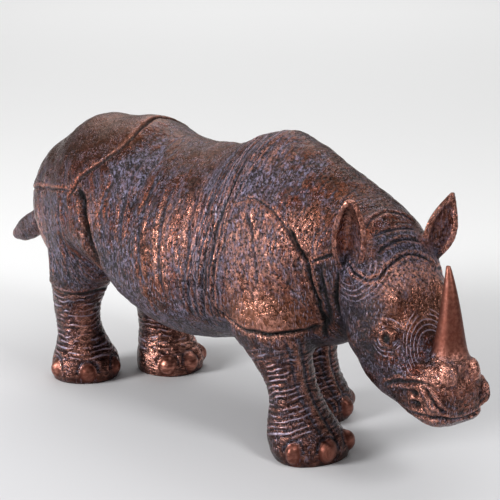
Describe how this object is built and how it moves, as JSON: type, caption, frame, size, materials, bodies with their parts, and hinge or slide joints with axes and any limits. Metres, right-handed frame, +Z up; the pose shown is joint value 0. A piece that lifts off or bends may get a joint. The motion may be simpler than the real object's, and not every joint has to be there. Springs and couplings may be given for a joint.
{
  "type": "rhinoceros figurine",
  "caption": "Cast rhinoceros figurine, walking with its head low, with folded hide and a dark copper finish, for a shelf or table.",
  "frame": {"origin": "on the floor plane, below the middle of the figure's box", "axes": "+X towards the head, +Y to the animal's left, +Z up"},
  "size_m": [0.3472, 0.1058, 0.1508],
  "materials": {
    "copper_painted_resin": "cast resin with metallic copper paint, dark patina in the hollows and bare satin copper on the raised parts"
  },
  "bodies": {
    "root": {"rhinoceros": "copper_painted_resin"}
  },
  "joints": []
}
